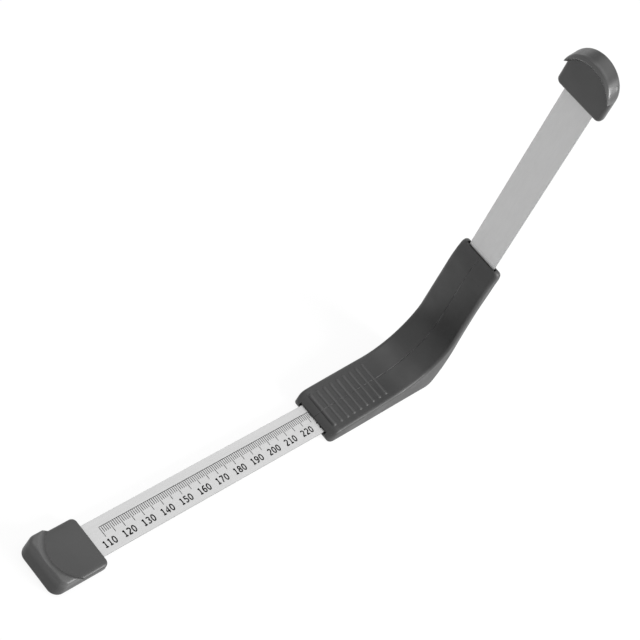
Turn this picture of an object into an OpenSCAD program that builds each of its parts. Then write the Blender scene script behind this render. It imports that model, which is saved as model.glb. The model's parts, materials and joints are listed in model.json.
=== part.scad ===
// Foot measuring gauge: an L-shaped slider on one flexible tape, with a stop cap on each tape end.
// Frame: origin on the floor under the slider's reading edge, +X towards the heel,
// +Z up, Y = 0 is the middle of the tape. Millimetres.

/* [Tape] */
// Width of the tape
tape_w = 15; // [10:0.5:25]
// Thickness of the tape
tape_t = 0.7; // [0.4:0.1:1.5]
// Height of the tape's upper face above the floor
tape_z = 3.6; // [2.5:0.1:6]
// Radius of the inner face of the tape's bend
bend_r = 31; // [20:1:40]
// Angle between the floor and the upright, seen from the foot
upright_angle = 99; // [90:1:110]
// Distance from the reading edge to the corner where both tape lines meet
corner_x = 68.1; // [60:0.1:90]
// Length of bare scale tape between the toe cap and the reading edge
scale_run = 123.9; // [60:0.1:220]
// Length of bare tape between the top slot and the tail cap
tail_run = 102.1; // [40:0.1:220]

/* [Handle] */
// Distance from the corner to the top slot, along the upright
upright_run = 84; // [60:0.5:120]
// Half width at the reading edge
half_w_mouth = 12.1; // [10.5:0.1:16]
// Half width round the heel cup
half_w_cup = 11.8; // [10.5:0.1:18]
// Half width at the top slot
half_w_top = 11; // [10.3:0.1:16]
// Height of the flat leg at its front
leg_h = 7.2; // [6:0.1:12]
// Rise of the flat leg's upper face for each millimetre of length
leg_slope = 0.09; // [0:0.01:0.2]
// Plastic in front of the tape along the upright
front_wall = 3; // [2.5:0.1:6]
// How much tighter the cup between leg and upright is than the tape's bend
cup_tighter = 7.5; // [5:0.5:12]
// Rounding of the upper and front edges
edge_r = 1.5; // [0.5:0.1:3]
// Rounding of the back edges
back_r = 2.2; // [0.5:0.1:3]
// Length of the ears beside the front slot
ear_l = 0.9; // [0.6:0.1:4]
// Length of the ears beside the top slot
ear_top = 0.6; // [0.5:0.1:4]
// Thickness of the outer skins
skin = 1.6; // [1.2:0.1:3]

/* [Grip ribs] */
// Number of grip ribs on the flat leg
rib_n = 9; // [3:1:12]
// Distance from one rib to the next
rib_pitch = 3.9; // [3:0.1:6]
// Distance from the reading edge to the first rib
rib_x = 3.9; // [3:0.1:10]
// Radius of a rib's round back
rib_r = 1.1; // [0.6:0.1:2]
// Height of a rib above the skin
rib_h = 0.45; // [0.2:0.05:1]
// Half length of a rib
rib_half = 8.9; // [5:0.1:12]

/* [Caps] */
// Width of both caps
cap_w = 23.4; // [18:0.1:30]
// Height of the toe cap's underside above the floor
toe_low = 1.2; // [0:0.1:2.2]
// Height of the plate's upper face above the floor
cap_h = 5.5; // [5:0.1:10]
// Length of the toe cap
toe_l = 26.7; // [20:0.1:40]
// Height of the toe cap's stop above its plate
toe_stop_h = 4; // [2:0.1:8]
// Straight length of the tail cap, up to its half round end
tail_l = 12.4; // [8:0.1:20]
// Height of the tail cap's stop above its plate
tail_stop_h = 3.8; // [2:0.1:8]
// Level of the tail cap's back, on the same scale as the toe cap's underside
tail_low = 2; // [0:0.1:2.2]

/* [Hidden] */
$fn = 64;

// clearance between the moving tape and the guide channel, on each face
channel_gap = 0.2;
// room beside the tape in the slots, on each edge
slot_side = 1;
slot_half = tape_w / 2 + slot_side;
// lowest point that the end of the bare tape reaches along the upright
tail_reach = 13;
// furthest point that the end of the scale tape reaches along the floor
scale_reach = 62;
// angle of one facet of the tape's bend
bend_step = 4.5;
bend_n = round(upright_angle / bend_step);
// the curved rib behind the bend starts and stops this many facets from its ends
guide_skip = 6;
guide_t = 1.3;
// plan radius of the ear corners, at the reading edge and at the top slot
ear_corner = 4;
top_corner = 3.6;
// depth of the hollows, from the parting plane to the side wall
leg_core = 10.2;
heel_core = 10.2;

// tape lines: along the floor, then up the upright
corner = [corner_x, tape_z];
up_d = [cos(upright_angle), sin(upright_angle)];
up_n = [sin(upright_angle), -cos(upright_angle)];
tangent = bend_r * tan(upright_angle / 2);
bend_c = [corner_x - tangent, tape_z + bend_r];
function on_up(s, off) = corner + s * up_d + off * up_n;
function on_bend(a, off) = bend_c + (bend_r + off) * [sin(a), -cos(a)];
function bend_chain(off, i0, i1) = [for (i = [i0 : i1]) on_bend(i * upright_angle / bend_n, off)];

// curves
function mix(a, b, t) = a * (1 - t) + b * t;
function bezier(p, t) = pow(1 - t, 3) * p[0] + 3 * t * pow(1 - t, 2) * p[1]
    + 3 * pow(t, 2) * (1 - t) * p[2] + pow(t, 3) * p[3];
function smooth(t) = t <= 0 ? 0 : t >= 1 ? 1 : t * t * (3 - 2 * t);
function flip(v) = [for (i = [len(v) - 1 : -1 : 0]) v[i]];

// upper face of the flat leg, and the front face of the upright
leg_a = atan(leg_slope);
function leg_top(x) = [x, leg_h + leg_slope * x];
ramp_end = 5;
ramp = [[-ear_l, tape_z + 0.3], [0, tape_z + 0.4], [1.9, leg_h], leg_top(ramp_end)];
// where the two faces would cross, and the cup that rounds their corner
cross_s = (leg_h + leg_slope * (corner_x - front_wall * up_n[0]) - tape_z + front_wall * up_n[1])
    / (up_d[1] - leg_slope * up_d[0]);
cross_pt = on_up(cross_s, -front_wall);
cup_turn = upright_angle - leg_a;
cup_r = bend_r - cup_tighter;
cup_tan = cup_r * tan(cup_turn / 2);
cup_c = cross_pt - cup_tan * [cos(leg_a), sin(leg_a)] + cup_r * [-sin(leg_a), cos(leg_a)];
function cup_pt(t) = cup_c + cup_r * [sin(leg_a + cup_turn * t), -cos(leg_a + cup_turn * t)];
cup_x = cup_pt(0)[0];

// underside, heel and back of the handle
heel_r = 3;
heel_c = [corner_x - heel_r, heel_r];
function heel_pt(a) = heel_c + heel_r * [sin(a), -cos(a)];
bulge = [heel_pt(90), [corner_x + 1.3, 18], on_up(33, 1.9), on_up(52, 1.75)];
waist = [on_up(52, 1.75), on_up(61, 1.9), on_up(70, 2.9), on_up(80, 3.6)];
top_end = upright_run + ear_top;
top_ramp = [on_up(72, -front_wall), on_up(78, -3.1), on_up(80, -1.4), on_up(top_end, -1)];
top_tip = [on_up(80, 3.6), on_up(81.8, 3.3), on_up(83.4, 2.3), on_up(top_end, 0.6)];
// the underside turns up to the front ends of the ears
nose_end = 1.6;
nose = [[nose_end, 0], [0.6, 0], [-0.5, 1.2], [-ear_l, tape_z - 0.3]];
function sole_pt(x) = x < nose_end ? bezier(nose, (nose_end - x) / (nose_end + ear_l)) : [x, 0];

// stations along the handle: upper point, lower point, share of the way, rounding of the lower edge
bottom_r = 0.8;
n_ramp = 9;
n_sole = 5;
n_heel = 5;
n_bulge = 9;
n_waist = 8;
n_tip = 7;
stations = concat(
    [for (i = [0 : n_ramp]) let (t = bezier(ramp, i / n_ramp))
        [t, sole_pt(t[0]), 0, bottom_r]],
    [for (i = [1 : 3]) let (x = mix(ramp_end, cup_x, i / 3)) [leg_top(x), [x, 0], 0.35 * i / 3, bottom_r]],
    [for (i = [1 : n_sole]) let (k = i / n_sole)
        [cup_pt(0.42 * k), [mix(cup_x, heel_c[0], k), 0], mix(0.35, 0.5, k), mix(bottom_r, 1.4, k)]],
    [for (i = [1 : n_heel]) let (k = i / n_heel)
        [cup_pt(mix(0.42, 0.52, k)), heel_pt(90 * k), 0.5, mix(1.4, back_r, k)]],
    [for (i = [1 : n_bulge]) let (k = i / n_bulge)
        [k < 0.7 ? cup_pt(mix(0.52, 1, k / 0.7)) : mix(cup_pt(1), on_up(52, -front_wall), (k - 0.7) / 0.3),
            bezier(bulge, k), mix(0.5, 0.72, k), back_r]],
    [for (i = [1 : n_waist]) let (k = i / n_waist)
        [k < 0.6 ? on_up(mix(52, 72, k / 0.6), -front_wall) : bezier(top_ramp, (k - 0.6)),
            bezier(waist, k), mix(0.72, 0.9, k), back_r]],
    [for (i = [1 : n_tip]) let (k = 1 - pow(1 - i / n_tip, 1.6))
        [bezier(top_ramp, mix(0.4, 1, k)), bezier(top_tip, k), mix(0.9, 1, k), mix(back_r, 1.4, k)]]
);
function half_w(k) = k < 0.5 ? mix(half_w_mouth, half_w_cup, smooth(k / 0.5))
    : mix(half_w_cup, half_w_top, smooth((k - 0.5) / 0.45));
// the plan corners of both ends
function corner_cut(u, r) = u >= r ? 0 : r - sqrt(r * r - pow(r - u, 2));
function station_w(st) = half_w(st[2]) - corner_cut(max(0, st[0][0] + ear_l), ear_corner)
    - (st[2] > 0.8 ? corner_cut(max(0, top_end - (st[0] - corner) * up_d), top_corner) : 0);

// one half of the rounded section at a station, from the upper to the lower end of the parting plane
round_n = 5;
// each half is bevelled along the parting line, so that the closed halves show a fine groove
seam = 0.15;
function section(st) = let (
        a = st[0],
        b = st[1],
        w = station_w(st),
        depth = norm(b - a),
        e = (b - a) / depth,
        ra = min(edge_r, depth * 0.45),
        rb = min(st[3], depth * 0.45),
        flat = concat(
            [[seam, 0], [0, seam]],
            [for (i = [0 : round_n]) let (q = 90 * i / round_n) [ra * (1 - cos(q)), w - ra + ra * sin(q)]],
            [for (i = [0 : round_n]) let (q = 90 * i / round_n)
                [depth - rb + rb * sin(q), w - rb + rb * cos(q)]],
            [[depth, seam], [depth - seam, 0]]
        )
    ) [for (p = flat) let (q = a + e * p[0]) [q[0], p[1], q[1]]];

module skin_solid() {
    m = 2 * round_n + 6;
    n = len(stations);
    rings = [for (st = stations) section(st)];
    points = [for (r = rings) for (p = r) p];
    walls = [for (i = [0 : n - 2]) for (j = [0 : m - 1]) let (j2 = (j + 1) % m)
        each [[i * m + j, i * m + j2, (i + 1) * m + j], [i * m + j2, (i + 1) * m + j2, (i + 1) * m + j]]];
    start = [[for (j = [m - 1 : -1 : 0]) j]];
    end = [[for (j = [0 : m - 1]) (n - 1) * m + j]];
    polyhedron(points = points, faces = concat(walls, start, end), convexity = 10);
}

// a flat outline in X and Z, extruded along Y
module extrude_y(y0, y1) {
    translate([0, y1, 0]) rotate([90, 0, 0]) linear_extrude(y1 - y0) children();
}

// a round pin along Y
module pin_y(at, r, y0, y1) {
    translate([at[0], y0, at[1]]) rotate([-90, 0, 0]) cylinder(r = r, h = y1 - y0);
}

// the channel that guides the tape through the handle
channel_in = -channel_gap;
channel_out = tape_t + channel_gap;
module channel() {
    reach = 12;
    extrude_y(-1, slot_half)
        polygon(concat(
            [[-reach, tape_z - channel_in]],
            bend_chain(channel_in, 0, bend_n),
            [on_up(upright_run + reach, channel_in), on_up(upright_run + reach, channel_out)],
            flip(bend_chain(channel_out, 0, bend_n)),
            [[-reach, tape_z - channel_out]]
        ));
}

// straight runs that the ends of the two tape stretches slide along
module straight_runs() {
    extrude_y(-1, slot_half) {
        polygon([[0, tape_z - channel_in], [scale_reach, tape_z - channel_in],
            [scale_reach, tape_z - channel_out], [0, tape_z - channel_out]]);
        polygon([on_up(tail_reach, channel_in), on_up(upright_run, channel_in),
            on_up(upright_run, channel_out), on_up(tail_reach, channel_out)]);
    }
}

// the open mouths between the ears
module mouths() {
    over = 20;
    extrude_y(-1, slot_half) {
        polygon([[-over, tape_z - channel_out], [0, tape_z - channel_out], [0, over], [-over, over]]);
        polygon([on_up(upright_run, over), on_up(upright_run + over, over),
            on_up(upright_run + over, -over), on_up(upright_run, -over)]);
    }
}

// hollow behind the bend, with the curved rib that the bend leans on
back_skin = 1.7;
module heel_hollow() {
    floor_z = tape_z - channel_out;
    difference() {
        extrude_y(-1, heel_core)
            polygon(concat(
                [[bend_c[0], floor_z], [scale_reach + 1, floor_z], [corner_x - back_skin, tape_z + 3],
                    on_up(tail_reach, channel_out), on_up(tangent, channel_out)],
                flip(bend_chain(channel_out, 1, bend_n - 1))
            ));
        extrude_y(-2, heel_core + 1)
            polygon(concat(
                bend_chain(tape_t, guide_skip, bend_n - guide_skip),
                flip(bend_chain(tape_t + guide_t, guide_skip, bend_n - guide_skip))
            ));
        pin_y(heel_boss, heel_peg_r + boss_wall, -2, heel_core + 1);
    }
}

// hollow between the channel and the upper skin, split by cross webs
rail_t = 1.2;
web_t = 1.3;
hollow_x0 = 8;
hollow_x1 = 31;
web_x = [15.5, 23];
module leg_hollow() {
    low = tape_z - channel_in + rail_t;
    difference() {
        extrude_y(-1, leg_core)
            polygon([[hollow_x0, low], [hollow_x1, low],
                leg_top(hollow_x1) - [0, skin], leg_top(hollow_x0) - [0, skin]]);
        for (x = web_x) translate([x, -2, low - 1]) cube([web_t, leg_core + 3, leg_h]);
        pin_y(leg_boss, leg_peg_r + boss_wall, -2, leg_core + 1);
    }
}

// pegs of the near half and sockets of the far half: [place, radius]
boss_wall = 1.1;
peg_l = 3;
socket_gap = 0.1;
heel_peg_r = 1.5;
leg_peg_r = 1;
small_peg_r = 0.8;
heel_boss = bend_c + (bend_r + 5.6) * [sin(49.5), -cos(49.5)];
leg_boss = [27.5, 7.3];
pegs = [[heel_boss, heel_peg_r], [leg_boss, leg_peg_r], [leg_top(5.5) - [0, 2.1], small_peg_r],
    [on_up(47, -1.6), small_peg_r], [on_up(67, -1.6), small_peg_r]];

// grip ribs with round ends, raised from the flat leg
module grip_ribs() {
    for (i = [0 : rib_n - 1]) {
        at = leg_top(rib_x + i * rib_pitch) + [0, rib_h - rib_r];
        pin_y(at, rib_r, 0, rib_half - rib_r, $fn = 24);
        translate([at[0], rib_half - rib_r, at[1]]) sphere(r = rib_r, $fn = 24);
    }
}

// one half shell, from the parting plane outwards
module half_shell() {
    difference() {
        union() {
            skin_solid();
            grip_ribs();
        }
        channel();
        straight_runs();
        mouths();
        heel_hollow();
        leg_hollow();
    }
}

module handle_far_half() {
    color("#4a4b4d") seat() difference() {
        half_shell();
        for (p = pegs) pin_y(p[0], p[1] + socket_gap, -1, peg_l + socket_gap);
    }
}

module handle_near_half() {
    color("#48494b") seat() {
        mirror([0, 1, 0]) half_shell();
        for (p = pegs) pin_y(p[0], p[1], -1, peg_l);
    }
}

// the tape inside the bend, and its two straight stretches
module tape_bend() {
    color("#d2d3d4") seat() extrude_y(-tape_w / 2, tape_w / 2)
        polygon(concat(bend_chain(0, 0, bend_n), flip(bend_chain(tape_t, 0, bend_n))));
}

module scale_strip() {
    color("#d2d3d4") seat() difference() {
        translate([-scale_run - tape_in_cap, -tape_w / 2, tape_z - tape_t])
            cube([scale_run + tape_in_cap + bend_c[0], tape_w, tape_t]);
        translate([-scale_run - keeper_u, 0, 0]) cylinder(r = keeper_r, h = cap_h);
    }
}

module tail_strip() {
    color("#c9cacb") seat() tail_frame() difference() {
        translate([tangent, -tape_w / 2, -tape_t])
            cube([upright_run + tail_run + tape_in_cap - tangent, tape_w, tape_t]);
        translate([upright_run + tail_run + keeper_u, 0, -cap_h]) cylinder(r = keeper_r, h = 2 * cap_h);
    }
}

// caps: x runs outwards from the edge that faces the handle, z = 0 is the underside
tape_in_cap = 10;
keeper_u = 6;
keeper_r = 1.6;
keeper_gap = 0.05;
under_r = 1.2;
corner_r = 2.4;
end_corner_low = 4.4;
end_corner_high = 2.8;
top_r = 1.4;
arc_n = 8;
function arc_pts(c, r, a0, a1, n) = [for (i = [0 : n])
    let (a = mix(a0, a1, i / n)) c + r * [cos(a), sin(a)]];

// outline of the toe cap, of the tail cap, and of their stops, drawn in by d
function toe_plan(d, u0, r) = let (w = cap_w / 2, r0 = max(0.3, corner_r - d), r1 = max(0.3, r - d)) concat(
    arc_pts([u0 + d + r0, -w + d + r0], r0, 180, 270, arc_n),
    arc_pts([toe_l - d - r1, -w + d + r1], r1, 270, 360, arc_n),
    arc_pts([toe_l - d - r1, w - d - r1], r1, 0, 90, arc_n),
    arc_pts([u0 + d + r0, w - d - r0], r0, 90, 180, arc_n));
function tail_plan(d, u0) = let (w = cap_w / 2, r0 = max(0.3, corner_r - d)) concat(
    arc_pts([u0 + d + r0, -w + d + r0], r0, 180, 270, arc_n),
    arc_pts([tail_l, 0], w - d, 270, 450, 3 * arc_n + 2),
    arc_pts([u0 + d + r0, w - d - r0], r0, 90, 180, arc_n));

// rings of one outline at rising heights, skinned
module stack(rings, heights) {
    m = len(rings[0]);
    n = len(rings);
    polyhedron(
        points = [for (i = [0 : n - 1]) for (p = rings[i]) [p[0], p[1], heights[i]]],
        faces = concat(
            [[for (j = [0 : m - 1]) j]],
            [for (i = [0 : n - 2]) for (j = [0 : m - 1]) let (j2 = (j + 1) % m)
                each [[i * m + j, (i + 1) * m + j, i * m + j2],
                    [i * m + j2, (i + 1) * m + j, (i + 1) * m + j2]]],
            [[for (j = [m - 1 : -1 : 0]) (n - 1) * m + j]]
        ),
        convexity = 4);
}

// edge roundings from the underside to the top: [drawn in, height]
function edges(low, h, r) = concat(
    [for (q = [90 : -30 : 0]) [under_r * (1 - cos(q)), low + under_r * (1 - sin(q))]],
    [for (q = [0 : 18 : 90]) [r * (1 - cos(q)), h - r + r * sin(q)]]);
// the outer face of the toe cap leans inwards, bows, and has tighter corners towards the crest of its stop
lean_in = 1.9;
bow_r = 80;
function toe_rise(z) = max(0, (z - toe_low) / (cap_h + toe_stop_h - toe_low));
function toe_ring(d, z) = let (t = toe_rise(z))
    [for (p = toe_plan(d, toe_stop_u, mix(end_corner_low, end_corner_high, t)))
        [p[0] - t * (lean_in + p[1] * p[1] / (2 * bow_r)), p[1]]];

// the concave face of a stop: a slanted round bore through the raised end, and a flatter one for its ridge
ridge_lean = 62;
ridge_drop = 1.1;
ridge_r = 22.5;
module slanted_bore(at_u, at_z, lean, r) {
    translate([at_u, 0, at_z]) rotate([0, lean, 0]) translate([-r, 0, 0])
        cylinder(r = r, h = 2 * cap_w, center = true);
}
module stop_bore(foot_u, r, lean, stop_h) {
    ridge_u = foot_u + (stop_h - ridge_drop) * tan(lean);
    slanted_bore(foot_u, cap_h, lean, r);
    slanted_bore(ridge_u, cap_h + stop_h - ridge_drop, ridge_lean, ridge_r);
}

// room above the tape's end in the cap
pocket_gap = 0.1;
module tape_pocket() {
    translate([-1, -tape_w / 2, tape_z - tape_t])
        cube([tape_in_cap + 1, tape_w, tape_t + pocket_gap]);
}

// a peg through the tape's end, rooted in the plastic below and above it
module keeper() {
    translate([keeper_u, 0, tape_z - 2 * tape_t]) cylinder(r = keeper_r - keeper_gap, h = 3 * tape_t);
}

// a plate with a raised stop, hollowed for the tape's end; the plate ends under the stop's foot
foot_room = 0.8;
module cap_body(foot_u, bore_r, bore_lean, stop_h) {
    difference() {
        union() {
            intersection() {
                children(0);
                translate([-1, -cap_w, 0]) cube([foot_u + foot_room + 1, 2 * cap_w, cap_h + 1]);
            }
            difference() {
                children(1);
                stop_bore(foot_u, bore_r, bore_lean, stop_h);
            }
        }
        tape_pocket();
    }
    keeper();
}

toe_foot_u = 19.8;
toe_bore_r = 18;
toe_bore_lean = 46;
toe_stop_u = 11;
toe_crest_r = 1.4;
module toe_cap() {
    plate = edges(toe_low, cap_h, top_r);
    tall = edges(toe_low, cap_h + toe_stop_h, toe_crest_r);
    color("#58595b") seat() translate([-scale_run, 0, 0]) rotate([0, 0, 180])
        cap_body(toe_foot_u, toe_bore_r, toe_bore_lean, toe_stop_h) {
        stack([for (e = plate) toe_plan(e[0], 0, end_corner_low)], [for (e = plate) e[1]]);
        stack([for (e = tall) toe_ring(e[0], e[1])], [for (e = tall) e[1]]);
    }
}

module tail_frame() {
    translate([corner_x, 0, tape_z]) rotate([0, -upright_angle, 0]) children();
}

tail_foot_u = 18;
tail_bore_r = 14.5;
tail_bore_lean = 36;
// the inner corners of the stop's body are round up to here
tail_round_u = 12.4;
tail_stop_u = tail_round_u - corner_r;
tail_crest_r = 1.6;
// share of its reach that the half round end loses from the plate to the crest
tail_lean = 0.16;
function leaned(ring, z) = let (t = max(0, (z - cap_h) / tail_stop_h))
    [for (p = ring) [p[0] - t * tail_lean * max(0, p[0] - tail_l), p[1]]];
module tail_cap() {
    plate = edges(tail_low, cap_h, top_r);
    tall = edges(tail_low, cap_h + tail_stop_h, tail_crest_r);
    color("#525355") seat() tail_frame() translate([upright_run + tail_run, 0, -tape_z])
        cap_body(tail_foot_u, tail_bore_r, tail_bore_lean, tail_stop_h) {
            stack([for (e = plate) tail_plan(e[0], 0)], [for (e = plate) e[1]]);
            stack([for (e = tall) leaned(tail_plan(e[0], tail_stop_u), e[1])], [for (e = tall) e[1]]);
        }
}

// the frame's origin is the middle of the handle's flat underside
rest_x = 34;
module seat() {
    translate([-rest_x, 0, 0]) children();
}

handle_near_half();
handle_far_half();
tape_bend();
scale_strip();
toe_cap();
tail_strip();
tail_cap();
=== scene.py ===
# %% [markdown]
# # A foot measuring gauge
#
# The real object is an L-shaped slider on one flexible measuring tape. A child's foot lies between the
# stop cap at the toe end and the heel cup of the slider, and the tape is read at the slider's edge.
# This lesson dresses the exact solids of the gauge: it softens their shading, prints the scale, gives each
# piece the finish of its plastic and lights it on a white table. Everything is in metres, with the origin
# under the slider, +X towards the heel and +Z up.

import json
import math

import bmesh
import bpy
from mathutils import Matrix, Vector


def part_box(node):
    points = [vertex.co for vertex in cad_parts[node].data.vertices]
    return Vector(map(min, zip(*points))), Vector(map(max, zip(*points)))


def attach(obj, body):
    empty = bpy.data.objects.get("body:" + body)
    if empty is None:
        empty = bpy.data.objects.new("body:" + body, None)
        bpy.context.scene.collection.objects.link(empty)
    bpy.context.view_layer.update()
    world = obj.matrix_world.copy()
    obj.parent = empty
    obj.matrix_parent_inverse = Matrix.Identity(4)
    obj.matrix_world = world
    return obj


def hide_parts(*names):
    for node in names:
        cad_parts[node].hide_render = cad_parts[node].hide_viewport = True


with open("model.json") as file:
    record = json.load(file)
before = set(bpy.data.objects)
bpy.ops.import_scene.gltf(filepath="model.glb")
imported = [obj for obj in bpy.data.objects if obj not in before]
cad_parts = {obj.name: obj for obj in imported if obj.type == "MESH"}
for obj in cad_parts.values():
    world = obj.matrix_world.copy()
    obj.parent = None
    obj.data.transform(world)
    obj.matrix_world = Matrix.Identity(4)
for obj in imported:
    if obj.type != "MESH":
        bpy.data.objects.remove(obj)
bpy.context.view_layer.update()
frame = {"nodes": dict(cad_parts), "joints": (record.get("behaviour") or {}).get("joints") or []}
print("solids:", sorted(frame["nodes"]))

# %% [markdown]
# ## The camera
#
# A photograph's viewpoint can be found from the tape alone, because its two straight edges and its
# millimetre marks have known sizes. Here the found place and the found axes of the lens are written down,
# and a camera is put there. A long lens from 70 cm away keeps the perspective as weak as it is in a
# catalogue photograph. Blender keeps an object apart from its data, so a small helper joins the two.

# %% Place the camera
GAUGE_MIDDLE = Vector((-0.04, 0, 0.06))
CAMERA_PLACE = Vector((-0.51524, -0.17406, 0.56945))
CAMERA_RIGHT = Vector((0.67600, -0.62697, 0.38720))
CAMERA_UP = Vector((0.34157, 0.73220, 0.58925))
CAMERA_BACK = Vector((-0.65295, -0.26608, 0.70912))
LENS_MM = 101.25
SENSOR_MM = 36
NEAREST_SEEN = 0.01


def put_in_scene(name, data):
    """A new object with this data, linked into the scene."""
    thing = bpy.data.objects.new(name, data)
    bpy.context.scene.collection.objects.link(thing)
    return thing


camera_data = bpy.data.cameras.new("photo_camera")
camera_data.lens = LENS_MM
camera_data.sensor_width = SENSOR_MM
camera_data.clip_start = NEAREST_SEEN
camera = put_in_scene("photo_camera", camera_data)
camera_axes = Matrix((CAMERA_RIGHT, CAMERA_UP, CAMERA_BACK)).transposed()
camera.matrix_world = Matrix.Translation(CAMERA_PLACE) @ camera_axes.to_4x4()
bpy.context.scene.camera = camera
print("camera is", round((CAMERA_PLACE - GAUGE_MIDDLE).length, 2), "m from the gauge")

# %% [markdown]
# ## Adding nodes
#
# Each finish below is a small tree of nodes. By hand, a node takes one line for each setting and each
# socket. One helper does all of that, so a tree can be read from top to bottom. A socket is given a plain
# value or the output of an earlier node, and the helper sets or links it.

# %% Node helper
def add_node(tree, kind, sockets, **settings):
    """A new node, with its settings made and then its sockets filled."""
    node = tree.nodes.new(kind)
    for setting, value in settings.items():
        setattr(node, setting, value)
    for socket, value in sockets.items():
        if isinstance(value, bpy.types.NodeSocket):
            tree.links.new(value, node.inputs[socket])
        else:
            node.inputs[socket].default_value = value
    return node


def grey(level):
    """A neutral colour, as a colour socket takes it."""
    return (level, level, level, 1)


print("made add_node and grey: a middle grey is", grey(0.5))

# %% [markdown]
# ## Starting a finish
#
# A finish starts as a material with the principled shader, which stands for most real surfaces. The
# textures need to know where on the piece they are. The piece's own coordinates tell that in metres, and
# they ride with the piece when it slides, as a real finish does.

# %% Start a finish and feed its shader
def new_finish(name):
    """A material with a principled shader, and the tree that its finish is built in."""
    material = bpy.data.materials.new(name)
    material.use_nodes = True
    tree = material.node_tree
    add_node(tree, "ShaderNodeTexCoord", {}, name="Place")
    return material, tree


def place_on_piece(tree):
    """The place on the piece, in metres along its own axes."""
    return tree.nodes["Place"].outputs["Object"]


def shader_socket(tree, name):
    """A socket of the finish's principled shader."""
    return tree.nodes["Principled BSDF"].inputs[name]


def feed(tree, name, value):
    """Lets the output of a node drive a socket of the shader."""
    tree.links.new(value, shader_socket(tree, name))


print("made new_finish: a finish holds one shader and the place on its piece")

# %% [markdown]
# ## Patches and grain
#
# Moulded plastic is never one flat colour. Its mould was etched with a fine grain, its gloss changes a
# little from place to place, and hands polish it. Each of these is a noise texture with its own scale: a
# scale of 2000 makes grain half a millimetre wide. Noise keeps close to its middle value, so a second step
# spreads that middle over the range that is wanted.

# %% Noise helpers
NOISE_MIDDLE = (0.35, 0.65)


def noise(tree, scale, detail, stretch=(1, 1, 1)):
    """A noise texture, drawn out along the axes where stretch is small."""
    sockets = {"Vector": place_on_piece(tree), "Scale": stretch}
    mapped = add_node(tree, "ShaderNodeMapping", sockets)
    sockets = {"Vector": mapped.outputs["Vector"], "Scale": scale, "Detail": detail}
    return add_node(tree, "ShaderNodeTexNoise", sockets).outputs["Fac"]


def spread(tree, value, low, high, taken=NOISE_MIDDLE):
    """Maps the values between the two that are taken to the range from low to high."""
    start, stop = taken
    sockets = {"Value": value, "From Min": start, "From Max": stop, "To Min": low, "To Max": high}
    return add_node(tree, "ShaderNodeMapRange", sockets).outputs["Result"]


print("made noise and spread: noise between", NOISE_MIDDLE, "fills a whole range")

# %% [markdown]
# ## Colour that drifts
#
# Pigment is never mixed quite evenly. A finish that wanders between two close greys, in patches of a
# chosen size, looks more like a real moulding than one flat grey does. A noise that mixes the two does it.

# %% Drifting colour helpers
def tint(tree, value, dark, light):
    """A colour from dark to light, by a value from 0 to 1."""
    sockets = {"Factor": value, "A": grey(dark), "B": grey(light)}
    return add_node(tree, "ShaderNodeMix", sockets, data_type="RGBA").outputs["Result"]


def drifting_grey(tree, level, drift, patches):
    """A grey that wanders up and down by a share of itself."""
    return tint(tree, spread(tree, patches, 0, 1), level * (1 - drift), level * (1 + drift))


print("made tint and drifting_grey")

# %% [markdown]
# ## Relief
#
# Grain is too fine for a mesh, so a bump tells the shader how each grain leans. A moulding has no razor
# edges either: the Bevel node bends the shading over each edge by a fraction of a millimetre, and the bump
# lies on top of that. Neither moves the mesh, so every size stays exact.

# %% Relief helper
BEVEL_SAMPLES = 6


def relief(tree, height, depth, strength, soft_edge):
    """A bump of the given depth in metres, over edges that look rounded by soft_edge metres."""
    edge = add_node(tree, "ShaderNodeBevel", {"Radius": soft_edge}, samples=BEVEL_SAMPLES)
    sockets = {"Height": height, "Distance": depth, "Strength": strength, "Normal": edge.outputs["Normal"]}
    return add_node(tree, "ShaderNodeBump", sockets).outputs["Normal"]


print("made relief: a soft edge is sampled", BEVEL_SAMPLES, "times")

# %% [markdown]
# ## Satin dark plastic
#
# The slider and both caps are dark grey moulded plastic with a fine satin grain. A low base colour with a
# broad, soft reflection gives this look, because most of the light that comes back from such plastic is
# its sheen. The colour drifts by up to a tenth, and the gloss changes in patches where fingers have rubbed
# the grain smooth. The caps are a little glossier than the slider, the tail cap most of all.

# %% Make the dark plastics
COLOUR_DRIFT = 0.10
COLOUR_PATCH_SCALE = 45
GLOSS_PATCH_SCALE = 70
GRAIN_SCALE = 2600
GRAIN_DEPTH = 0.00006
GRAIN_STRENGTH = 0.22
HANDLE_GREY = 0.031
CAP_GREY = 0.037


def satin_plastic(name, level, roughness, soft_edge):
    """Dark moulded plastic, worn smooth in patches, with a roughness between the two that are given."""
    material, tree = new_finish(name)
    patches = noise(tree, COLOUR_PATCH_SCALE, detail=4)
    feed(tree, "Base Color", drifting_grey(tree, level, COLOUR_DRIFT, patches))
    feed(tree, "Roughness", spread(tree, noise(tree, GLOSS_PATCH_SCALE, detail=5), *roughness))
    grain = noise(tree, GRAIN_SCALE, detail=2)
    feed(tree, "Normal", relief(tree, grain, GRAIN_DEPTH, GRAIN_STRENGTH, soft_edge))
    return material


handle_plastic = satin_plastic(
    "handle_satin_plastic", HANDLE_GREY, roughness=(0.42, 0.56), soft_edge=0.00035)
toe_plastic = satin_plastic("toe_satin_plastic", CAP_GREY, roughness=(0.36, 0.48), soft_edge=0.0007)
tail_plastic = satin_plastic("tail_satin_plastic", CAP_GREY, roughness=(0.30, 0.42), soft_edge=0.0004)
print("dark plastics:", handle_plastic.name, toe_plastic.name, tail_plastic.name)
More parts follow.
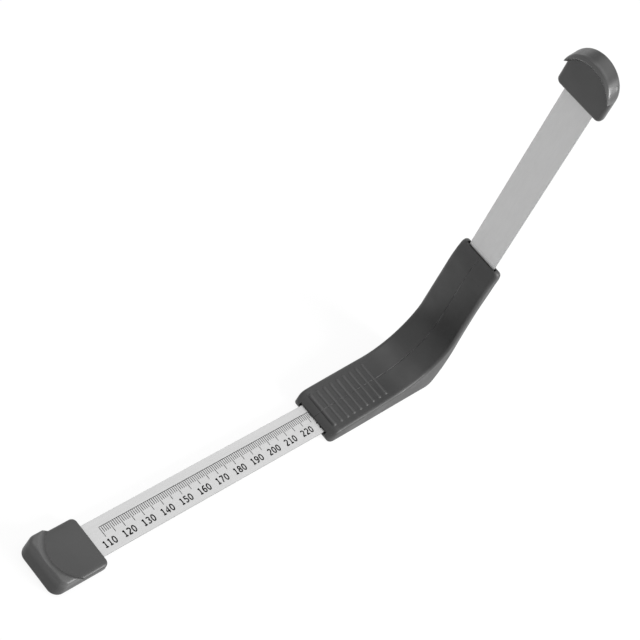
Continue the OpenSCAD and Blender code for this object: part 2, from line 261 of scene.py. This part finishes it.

# %% [markdown]
# ## Finding a place by arithmetic
#
# Some paint keeps to a place, such as the painted highlight along a seam or on the back of a rib. A picture
# could paint it, but arithmetic on the piece's own axes is exact and needs no picture: each step takes a
# number or the result of an earlier step, and the last one is a mask that is 1 where the paint is. What is
# laid over a finish is then mixed in by the mask, on top of whatever feeds the shader so far.

# %% Mask helpers
def measure(tree, operation, *values):
    """One step of arithmetic on values of the finish."""
    return add_node(tree, "ShaderNodeMath", dict(enumerate(values)), operation=operation).outputs["Value"]


def axes_of(tree):
    """The X, Y and Z of a place on the piece, in metres."""
    axes = add_node(tree, "ShaderNodeSeparateXYZ", {"Vector": place_on_piece(tree)})
    return axes.outputs["X"], axes.outputs["Y"], axes.outputs["Z"]


def lay_over(tree, name, mask, value, data_type):
    """Lays a new value over what feeds a socket of the shader, where the mask is 1."""
    under = shader_socket(tree, name).links[0].from_socket
    sockets = {"Factor": mask, "A": under, "B": value}
    mixed = add_node(tree, "ShaderNodeMix", sockets, data_type=data_type)
    feed(tree, name, mixed.outputs["Result"])


def lay_paint(tree, mask, level):
    """Paints a grey over the finish, where the mask is 1."""
    lay_over(tree, "Base Color", mask, grey(level), "RGBA")


print("made measure, axes_of, lay_over and lay_paint")

# %% [markdown]
# ## The parting line's painted highlight
#
# Where the two halves of the slider meet, the bevels of the seam catch the light in a fine line. That is
# painted on as a highlight: a hairline that is lighter than the plastic, and broken in places. The line is
# what lies within a limit of the middle plane, and a noise with a steep spread breaks it.

# %% Paint the parting line's highlight
# painted highlight: the lit bevel of the seam, as a lighter grey
SEAM_HIGHLIGHT_GREY = 0.10
SEAM_LINE_HALF_WIDTH = 0.00014
SEAM_BREAK_SCALE = 200
SEAM_BREAKS = (0.46, 0.54)

handle_tree = handle_plastic.node_tree
handle_x, handle_y, handle_z = axes_of(handle_tree)
off_middle = measure(handle_tree, "ABSOLUTE", handle_y)
on_line = measure(handle_tree, "LESS_THAN", off_middle, SEAM_LINE_HALF_WIDTH)
highlight_breaks = spread(handle_tree, noise(handle_tree, SEAM_BREAK_SCALE, detail=2), 0, 1, SEAM_BREAKS)
lay_paint(handle_tree, measure(handle_tree, "MULTIPLY", on_line, highlight_breaks), SEAM_HIGHLIGHT_GREY)
print("parting line painted", round(2000 * SEAM_LINE_HALF_WIDTH, 2), "mm wide")

# %% [markdown]
# ## Painted highlights on the grip ribs
#
# The backs of the grip ribs catch the light, so a painted highlight makes them a shade lighter than the
# grooves between them. The ribs stand at an even pitch along the slider. A ping-pong step turns the
# distance along it into the distance from the nearest rib, and three limits keep the painted highlight on
# the ribs: how far along, how far from the middle and how high.

# %% Paint highlights on the backs of the ribs
FIRST_RIB_X = -0.0301
RIB_PITCH = 0.0039
RIB_COUNT = 9
RIB_HALF = 0.0087
RIBS_ABOVE = 0.006
RIB_HIGHLIGHT_FADE = (0.0004, 0.0010)
# painted highlight: the lit backs of the ribs, as a lighter grey
RIB_HIGHLIGHT_GREY = 0.052

rib_span = RIB_PITCH * (RIB_COUNT - 1)
from_first = measure(handle_tree, "SUBTRACT", handle_x, FIRST_RIB_X)
from_rib = measure(handle_tree, "PINGPONG", from_first, RIB_PITCH / 2)
from_centre = measure(handle_tree, "SUBTRACT", from_first, rib_span / 2)
along = measure(handle_tree, "ABSOLUTE", from_centre)
limits = (
    measure(handle_tree, "LESS_THAN", along, rib_span / 2 + RIB_PITCH / 4),
    measure(handle_tree, "LESS_THAN", off_middle, RIB_HALF),
    measure(handle_tree, "GREATER_THAN", handle_z, RIBS_ABOVE),
)
highlighted = spread(handle_tree, from_rib, 1, 0, RIB_HIGHLIGHT_FADE)
for limit in limits:
    highlighted = measure(handle_tree, "MULTIPLY", highlighted, limit)
lay_paint(handle_tree, highlighted, RIB_HIGHLIGHT_GREY)
print("highlighted", RIB_COUNT, "ribs over", round(1000 * rib_span, 1), "mm")

# %% [markdown]
# ## Painted highlights and polish on the stops
#
# The crest of each cap's stop is a rounded ridge that catches the light, so a painted highlight makes it
# paler than the plate below it. Feet, floors and pockets touch it, and on the tail cap it is polished
# shinier too. Height above the plate tells crest from plate. It is a dot product of the place with the way
# that the plate faces: straight up on the toe cap, and on the tail cap square to the way that the tail
# slides, which the frame gives. The same mask sets the painted highlight and the gloss.

# %% Paint highlights on the crests of the stops and polish them
# painted highlight: the lit crests of the stops, as a paler grey
CREST_HIGHLIGHT_GREY = 0.075
TOE_POLISH = 0.42
TOE_UP = (0, 0, 1)
TOE_PLATE_AND_CREST = (0.0056, 0.0084)
TAIL_POLISH = 0.24
TAIL_PLATE_AND_CREST = (-0.0310, -0.0290)
slides = {joint["name"]: joint["axis"] for joint in frame["joints"]}
tail_x, tail_y, tail_z = slides["tail_slide"]
TAIL_UP = (-tail_z, tail_y, tail_x)


def polish_crest(material, up, plate_and_crest, polish):
    """Paints a highlight on a cap and polishes it, from just above its plate to the crest of its stop."""
    tree = material.node_tree
    sockets = {0: place_on_piece(tree), 1: up}
    height = add_node(tree, "ShaderNodeVectorMath", sockets, operation="DOT_PRODUCT")
    crest = spread(tree, height.outputs["Value"], 0, 1, plate_and_crest)
    lay_paint(tree, crest, CREST_HIGHLIGHT_GREY)
    lay_over(tree, "Roughness", crest, polish, "FLOAT")


polish_crest(toe_plastic, TOE_UP, TOE_PLATE_AND_CREST, TOE_POLISH)
polish_crest(tail_plastic, TAIL_UP, TAIL_PLATE_AND_CREST, TAIL_POLISH)
print("stops polished to roughness", TOE_POLISH, "and", TAIL_POLISH)

# %% [markdown]
# ## The tape's plastic
#
# The tape is a smooth, light grey strip that is rolled and cut, so its texture runs along it: faint streaks
# from rolling and hair-fine scratches from sliding through the handle. Both come from noise that is drawn
# out along the strip. Its two narrow sides face the near lamp, so they are painted a darker grey as painted
# shade, which keeps them from shining brighter than the faces. They are found by their distance from the
# middle of the strip, which is half of its width.

# %% Recipe for the tape's plastic
STREAK_DRIFT = 0.015
STREAK_SCALE = 900
SHINE_SCALE = 400
SHINE_ROUGHNESS = (0.46, 0.56)
SCRATCH_SCALE = 2400
SCRATCH_DEPTH = 0.00003
SCRATCH_STRENGTH = 0.05
TAPE_SOFT_EDGE = 0.00008
TAPE_HALF_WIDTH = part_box("scale_strip")[1].y
SIDE_SHADE_DEPTH = 0.00003
# painted shade: the narrow sides of the tape in a darker grey, against the near lamp
SIDE_SHADE_GREY = 0.23


def tape_plastic(name, level, stretch):
    """Rolled grey plastic, streaked along the axis where stretch is small."""
    material, tree = new_finish(name)
    streaks = noise(tree, STREAK_SCALE, 3, stretch)
    feed(tree, "Base Color", drifting_grey(tree, level, STREAK_DRIFT, streaks))
    across = measure(tree, "ABSOLUTE", axes_of(tree)[1])
    shaded_sides = measure(tree, "GREATER_THAN", across, TAPE_HALF_WIDTH - SIDE_SHADE_DEPTH)
    lay_paint(tree, shaded_sides, SIDE_SHADE_GREY)
    feed(tree, "Roughness", spread(tree, noise(tree, SHINE_SCALE, 4, stretch), *SHINE_ROUGHNESS))
    scratches = noise(tree, SCRATCH_SCALE, 2, stretch)
    feed(tree, "Normal", relief(tree, scratches, SCRATCH_DEPTH, SCRATCH_STRENGTH, TAPE_SOFT_EDGE))
    return material


print("the tape is", round(2000 * TAPE_HALF_WIDTH, 2), "mm wide")

# %% [markdown]
# ## Two stretches of one tape
#
# The printed stretch lies along X and the bare one stands along Z, so each needs its streaks along its own
# axis. The two stretches are one plastic, and their greys differ only as painted light: the lying printed
# stretch is a shade darker and the standing bare one a shade lighter. The exact solids of the tape are
# already as plain as the real tape, so they are kept, and only take on these finishes.

# %% Finish the tape
# painted light: one tape grey split into a darker printed stretch and a lighter bare stretch
SCALE_GREY = 0.565
BARE_GREY = 0.635
ALONG_X = (0.03, 1, 1)
ALONG_Z = (1, 1, 0.03)

scale_finish = tape_plastic("scale_tape_plastic", SCALE_GREY, ALONG_X)
bare_finish = tape_plastic("bare_tape_plastic", BARE_GREY, ALONG_Z)
TAPE_FINISHES = {"scale_strip": scale_finish, "tape_bend": scale_finish, "tail_strip": bare_finish}
for node, finish in TAPE_FINISHES.items():
    frame["nodes"][node].data.materials.clear()
    frame["nodes"][node].data.materials.append(finish)
print("tape finished over", len(TAPE_FINISHES), "solids")

# %% [markdown]
# ## Smooth shells over the exact solids
#
# The slider's halves and the caps were drawn as exact solids with many flat facets. A moulded surface
# flows, so each gets a shell with the same points, welded where facets meet. Copying the points, and not
# modelling them a second time, keeps every clearance.

# %% Weld a copy of a solid
WELD = 0.000002


def welded_copy(node):
    """The points and faces of a solid, joined wherever two facets share a point."""
    work = bmesh.new()
    work.from_mesh(frame["nodes"][node].data)
    bmesh.ops.remove_doubles(work, verts=work.verts, dist=WELD)
    work.verts.index_update()
    points = [tuple(vert.co) for vert in work.verts]
    faces = [[vert.index for vert in face.verts] for face in work.faces]
    work.free()
    return points, faces


print("made welded_copy: points closer than", WELD, "m become one")

# %% [markdown]
# ## Shading a shell
#
# A subdivision surface would look smooth too, but it would move the surface off the exact one. So only the
# shading is smoothed, but for edges that turn by more than a limit, which stay crisp. Large faces are given
# more say over the shading than slivers are, which keeps the flats flat. The shell rides on the same body
# as its solid and stands for it.

# %% Shell helper
SHARP_TURN = math.radians(32)


def shell_over(node, name, body, finish):
    """A smooth shaded shell with the points of a solid, which it stands for."""
    points, faces = welded_copy(node)
    mesh = bpy.data.meshes.new(name)
    mesh.from_pydata(points, [], faces)
    mesh.polygons.foreach_set("use_smooth", [True] * len(mesh.polygons))
    mesh.set_sharp_from_angle(angle=SHARP_TURN)
    mesh.materials.append(finish)
    shell = put_in_scene(name, mesh)
    weights = shell.modifiers.new("flats_stay_flat", "WEIGHTED_NORMAL")
    weights.keep_sharp = True
    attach(shell, body)
    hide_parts(node)
    print(name, "has", len(points), "points and", len(faces), "faces")


print("made shell_over: turns of more than", round(math.degrees(SHARP_TURN)), "degrees stay crisp")

# %% [markdown]
# ## The slider and the caps
#
# The two halves of the slider close on the tape like a clam shell. One mesh could stand for both, but each
# keeps its own shell here, so the parting line between them stays a real seam. The caps are fitted to the
# two ends of the tape and ride with them.

# %% Dress the slider and the caps
for node, name in (("handle_near_half", "near_half_shell"), ("handle_far_half", "far_half_shell")):
    shell_over(node, name, body="handle", finish=handle_plastic)
shell_over("toe_cap", "toe_cap_shell", body="scale_end", finish=toe_plastic)
shell_over("tail_cap", "tail_cap_shell", body="tail_end", finish=tail_plastic)

# %% [markdown]
# ## Strokes of a pen
#
# The scale is printed with black ink on the tape's upper face. A picture laid on the tape would do for the
# eye, but real ink has a thickness, if only a few hundredths of a millimetre, so each stroke here becomes
# a thin solid bar. It follows a line of points at a fixed width. Where the line turns a corner, the width
# across the corner is larger, up to a limit.

# %% Find the two sides of a stroke
SHARPEST_CORNER = 0.6


def stroke_sides(line, width):
    """The left and right points of a stroke, at each point of its line."""
    sides = []
    for i, (x, y) in enumerate(line):
        x0, y0 = line[max(0, i - 1)]
        x1, y1 = line[min(len(line) - 1, i + 1)]
        along = Vector((x1 - x0, y1 - y0)).normalized()
        widening = 1.0
        if 0 < i < len(line) - 1:
            before = Vector((x - x0, y - y0)).normalized()
            widening = 1 / max(SHARPEST_CORNER, abs(along.dot(before)))
        side = Vector((-along.y, along.x)) * (width / 2 * widening)
        sides.append(((x + side.x, y + side.y), (x - side.x, y - side.y)))
    return sides


print("a corner widens a stroke by", round(1 / SHARPEST_CORNER, 2), "at most")

# %% [markdown]
# ## Closed bars of ink
#
# A bar is closed all round, by a lower and an upper face, two long sides and two ends, so its mesh has a
# volume, as a layer of ink does. It starts a hair below the tape's face, which leaves no gap for light. The
# scale is read in millimetres, so the strokes are measured in millimetres too.

# %% Stroke helper
MM = 0.001
INK_SUNK = 0.002
INK_PROUD = 0.018
tape_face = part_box("scale_strip")[1].z / MM


def add_stroke(points, faces, line, width):
    """Adds a closed flat bar along the line, as wide as asked and as thick as the ink."""
    first = len(points)
    for left, right in stroke_sides(line, width):
        for z in (tape_face - INK_SUNK, tape_face + INK_PROUD):
            points.extend(((*left, z), (*right, z)))
    for a in range(first, len(points) - 4, 4):
        b = a + 4
        faces.append((a + 2, a + 3, b + 3, b + 2))
        faces.append((a + 1, a, b, b + 1))
        faces.append((a, a + 2, b + 2, b))
        faces.append((a + 3, a + 1, b + 1, b + 3))
    end = len(points) - 4
    faces.append((first, first + 1, first + 3, first + 2))
    faces.append((end + 1, end, end + 2, end + 3))


print("the ink stands", INK_PROUD, "mm above the tape's face, which is at", round(tape_face, 3), "mm")

# %% [markdown]
# ## Black ink
#
# Printing ink on plastic is thin, matt and nearly black, and it wears unevenly where feet slide over it.
# Two very dark greys and a changing roughness give that. Almost no light is mirrored by it, which keeps
# the print black under the upper lamp.

# %% Make the ink
INK_DARK = 0.002
INK_WORN = 0.005
INK_WEAR_SCALE = 1500
INK_MATT_SCALE = 900
INK_ROUGHNESS = (0.50, 0.70)
INK_MIRRORING = 0.1

black_ink, ink_tree = new_finish("black_ink")
ink_wear = spread(ink_tree, noise(ink_tree, INK_WEAR_SCALE, detail=4), 0, 1)
feed(ink_tree, "Base Color", tint(ink_tree, ink_wear, INK_DARK, INK_WORN))
feed(ink_tree, "Roughness", spread(ink_tree, noise(ink_tree, INK_MATT_SCALE, detail=3), *INK_ROUGHNESS))
shader_socket(ink_tree, "Specular IOR Level").default_value = INK_MIRRORING
print("ink made:", black_ink.name)

# %% [markdown]
# ## A printed piece
#
# All marks share one mesh and all numbers another, since a print of hundreds of separate objects would be
# slow and hard to handle. The strokes are turned from millimetres into metres here. The print rides with
# the scale's end of the tape.

# %% Print helper
def print_ink(name, points, faces):
    """Turns strokes into one printed piece that rides with the scale."""
    mesh = bpy.data.meshes.new(name)
    mesh.from_pydata([(x * MM, y * MM, z * MM) for x, y, z in points], [], faces)
    mesh.materials.append(black_ink)
    piece = put_in_scene(name, mesh)
    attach(piece, "scale_end")
    print(name, "has", len(faces), "faces")


print("made print_ink, which prints in", black_ink.name)

# %% [markdown]
# ## The millimetre marks
#
# One thin line runs along the tops of the marks. A short mark stands at each millimetre and a longer one
# at every fifth. An array of one mark would be quick, but a loop also knows where the long ones belong. The
# print starts at 110 mm and goes on inside the slider, so marks come out when the toe cap is drawn away.

# %% Print the marks
READING_AT_ORIGIN = 261.2
FIRST_READING = 110
LAST_READING = 258
BASE_LINE_Y = 3.6
MARK_END_Y = 0.85
LONG_MARK_END_Y = -1.1
LONG_EVERY = 5
MARK_WIDTH = 0.27
BASE_WIDTH = 0.22

mark_points, mark_faces = [], []
base_line = [(reading - READING_AT_ORIGIN, BASE_LINE_Y) for reading in (FIRST_READING, LAST_READING)]
add_stroke(mark_points, mark_faces, base_line, BASE_WIDTH)
for reading in range(FIRST_READING, LAST_READING + 1):
    x = reading - READING_AT_ORIGIN
    end_y = LONG_MARK_END_Y if reading % LONG_EVERY == 0 else MARK_END_Y
    add_stroke(mark_points, mark_faces, [(x, BASE_LINE_Y), (x, end_y)], MARK_WIDTH)
print_ink("scale_marks", mark_points, mark_faces)
print("printed", LAST_READING - FIRST_READING + 1, "marks")

# %% [markdown]
# ## The shapes of the digits
#
# The digits are plain strokes with an even width, as on most rulers, and a 1 with a foot. Each is
# described by the lines that a pen would draw, in a box that is one unit high. A text object would be
# quicker, but it brings a typeface along, and its fine curves cost many more faces.

# %% Draw the digits
def arc(cx, cy, rx, ry, start, stop, steps=14):
    """Points on an ellipse, from one angle in degrees to another."""
    turns = [math.radians(start + (stop - start) * i / steps) for i in range(steps + 1)]
    return [(cx + rx * math.cos(t), cy + ry * math.sin(t)) for t in turns]


DIGITS = {
    "0": [arc(0.31, 0.5, 0.245, 0.445, 90, 450, 28)],
    "1": [[(0.13, 0.80), (0.34, 0.93)], [(0.34, 1.0), (0.34, 0.0)], [(0.12, 0.06), (0.56, 0.06)]],
    "2": [arc(0.29, 0.70, 0.235, 0.245, 155, -35) + [(0.07, 0.075)], [(0.02, 0.06), (0.57, 0.06)]],
    "3": [arc(0.27, 0.725, 0.22, 0.22, 145, -90), arc(0.27, 0.275, 0.26, 0.225, 90, -145)],
    "4": [[(0.42, 0.0), (0.42, 0.94), (0.03, 0.30)], [(0.02, 0.28), (0.60, 0.28)]],
    "5": [
        [(0.52, 0.94), (0.12, 0.94)],
        [(0.13, 0.97), (0.12, 0.53)],
        arc(0.27, 0.32, 0.265, 0.265, 122, -140),
    ],
    "6": [arc(0.32, 0.31, 0.235, 0.255, 0, 360, 24), arc(0.45, 0.38, 0.375, 0.565, 72, 182)],
    "7": [[(0.05, 0.94), (0.57, 0.94)], [(0.56, 0.97), (0.20, 0.0)]],
    "8": [arc(0.31, 0.73, 0.20, 0.21, 90, 450, 24), arc(0.31, 0.28, 0.245, 0.22, 90, 450, 24)],
    "9": [arc(0.30, 0.69, 0.235, 0.255, 0, 360, 24), arc(0.17, 0.62, 0.375, 0.565, -108, 2)],
}
print("drew", len(DIGITS), "digits from", sum(map(len, DIGITS.values())), "lines")

# %% [markdown]
# ## The numbers
#
# A number stands under every tenth mark, centred on it. Each digit takes the same room, so the numbers
# line up whatever they say, and the shapes above serve for any reading.

# %% Print the numbers
NUMBER_EVERY = 10
DIGIT_HEIGHT = 3.0
DIGIT_STEP = 2.35
DIGIT_MIDDLE = 0.31
DIGIT_LOW_Y = -5.2
PEN = 0.56

number_points, number_faces = [], []
numbered = range(FIRST_READING, LAST_READING + 1, NUMBER_EVERY)
for reading in numbered:
    text = str(reading)
    width = DIGIT_STEP * len(text)
    start = reading - READING_AT_ORIGIN - width / 2 + DIGIT_STEP / 2 - DIGIT_MIDDLE * DIGIT_HEIGHT
    for place, digit in enumerate(text):
        left = start + place * DIGIT_STEP
        for line in DIGITS[digit]:
            placed = [(left + u * DIGIT_HEIGHT, DIGIT_LOW_Y + v * DIGIT_HEIGHT) for u, v in line]
            add_stroke(number_points, number_faces, placed, PEN)
print_ink("scale_numbers", number_points, number_faces)
print("numbers from", numbered[0], "to", numbered[-1])

# %% [markdown]
# ## White for the camera alone
#
# The catalogue photograph has a white ground with no edge. More light would turn the ground white, but it
# would bleach the gauge as well. Light Path tells which rays come from the camera, a reflection or clear
# plastic. Only these are shown pure white, and the light that falls on the gauge stays at a plain level.

# %% Find the rays that are shown white
def seen_directly(tree):
    """1 for a ray from the camera, a reflection or clear plastic, and 0 for every other."""
    rays = add_node(tree, "ShaderNodeLightPath", {}).outputs
    seen = measure(tree, "MAXIMUM", rays["Is Camera Ray"], rays["Is Glossy Ray"])
    return measure(tree, "MAXIMUM", seen, rays["Is Transmission Ray"])


def show_white(tree, share, plain, white, output):
    """Shows the white shader for a share of the light, and the plain one for the rest."""
    blend = add_node(tree, "ShaderNodeMixShader", {"Fac": share, 1: plain, 2: white})
    tree.links.new(blend.outputs["Shader"], tree.nodes[output].inputs["Surface"])


print("made seen_directly and show_white")

# %% [markdown]
# ## The table
#
# The gauge stands on a plain matt board. One flat face is enough for it. It is far wider than the view, so
# that its edge is out of sight.

# %% Lay the table
TABLE_HALF = 3.0

table_mesh = bpy.data.meshes.new("table")
corners = [(-1, -1), (1, -1), (1, 1), (-1, 1)]
table_mesh.from_pydata([(x * TABLE_HALF, y * TABLE_HALF, 0) for x, y in corners], [], [(0, 1, 2, 3)])
table = put_in_scene("table", table_mesh)
print("table is", 2 * TABLE_HALF, "m wide")

# %% [markdown]
# ## A soft shadow on the table
#
# If the table were only white, the gauge would float. So a part of the table's own shading is left in the
# white, and that part holds the gauge's soft shadow. The white is a touch over full white, which makes up
# for the shading that is mixed in. Far from the gauge the shading fades out, so no horizon shows.

# %% Finish the table
TABLE_GREY = 0.86
TABLE_ROUGHNESS = 0.7
TABLE_MIRRORING = 0.1
TABLE_WHITE = 1.04
SHADOW_SHARE = 0.14
SHADOW_FADE = (0.35, 1.1)

table_white, table_tree = new_finish("white_table")
shader_socket(table_tree, "Base Color").default_value = grey(TABLE_GREY)
shader_socket(table_tree, "Roughness").default_value = TABLE_ROUGHNESS
shader_socket(table_tree, "Specular IOR Level").default_value = TABLE_MIRRORING
glow = add_node(table_tree, "ShaderNodeEmission", {"Color": grey(1), "Strength": TABLE_WHITE})
from_gauge = add_node(
    table_tree, "ShaderNodeVectorMath", {0: place_on_piece(table_tree)}, operation="LENGTH")
white_share = spread(table_tree, from_gauge.outputs["Value"], 1 - SHADOW_SHARE, 1, SHADOW_FADE)
shown_white = measure(table_tree, "MULTIPLY", seen_directly(table_tree), white_share)
board = table_tree.nodes["Principled BSDF"].outputs["BSDF"]
show_white(table_tree, shown_white, board, glow.outputs["Emission"], "Material Output")
table_mesh.materials.append(table_white)
print("the table keeps", SHADOW_SHARE, "of its shading up to", SHADOW_FADE[0], "m from the gauge")

# %% [markdown]
# ## A pale room
#
# A studio tent lights small goods from all round. Its cloth could be modelled, but the world's background
# gives the same soft, even light from every side, and it costs nothing. It is shown pure white to the
# camera and in reflections, as the table is.

# %% Make the room
ROOM_LIGHT = 0.42

world = bpy.data.worlds.new("white_room")
bpy.context.scene.world = world
world.use_nodes = True
room_tree = world.node_tree
room = room_tree.nodes["Background"]
room.inputs["Color"].default_value = grey(1)
room.inputs["Strength"].default_value = ROOM_LIGHT
white_wall = add_node(room_tree, "ShaderNodeBackground", {"Color": grey(1), "Strength": 1.0})
show_white(room_tree, seen_directly(room_tree), room.outputs[0], white_wall.outputs[0], "World Output")
print("the room lights the gauge with", ROOM_LIGHT, "of white")

# %% [markdown]
# ## Light from four sides
#
# Even light alone makes a form look flat, so four square lamps add shape. The near one gives the slider's
# flank its light grey, and the upper one is for the faces that look up. A small lamp over the toe end
# draws a light line along each grip rib, and a weak one at the far side reaches the hollow face of the toe
# stop, which the others hardly light.

# %% Hang the lamps
def soft_lamp(name, place, size, watts):
    """A square lamp that looks at the gauge."""
    data = bpy.data.lights.new(name, "AREA")
    data.shape = "SQUARE"
    data.size = size
    data.energy = watts
    to_gauge = GAUGE_MIDDLE - Vector(place)
    lamp = put_in_scene(name, data)
    lamp.location = place
    lamp.rotation_euler = to_gauge.to_track_quat("-Z", "Y").to_euler()
    print(name, "gives", watts, "W from", round(to_gauge.length, 2), "m")


soft_lamp("near_side_lamp", place=(0.25, -0.95, 0.40), size=0.50, watts=14.0)
soft_lamp("upper_lamp", place=(0.10, -0.10, 1.05), size=0.80, watts=3.3)
soft_lamp("rib_lamp", place=(-0.33, 0.27, 0.98), size=0.30, watts=0.7)
soft_lamp("far_fill_lamp", place=(0.55, 0.75, 0.50), size=0.50, watts=0.8)

# %% [markdown]
# ## Colours as written
#
# Blender can bend colours the way film does, which makes a pale grey greyer still. The standard view
# leaves them alone, so a finish renders at about the grey that is written for it.

# %% Set the view
bpy.context.scene.view_settings.view_transform = "Standard"
print("view:", bpy.context.scene.view_settings.view_transform)

# %% [markdown]
# ## The last update
#
# The dressed gauge must be as large as the exact solids, since a shell that stood proud of them would jam
# in the slots. Here the scene is brought up to date.

# %% Update the scene
bpy.context.view_layer.update()
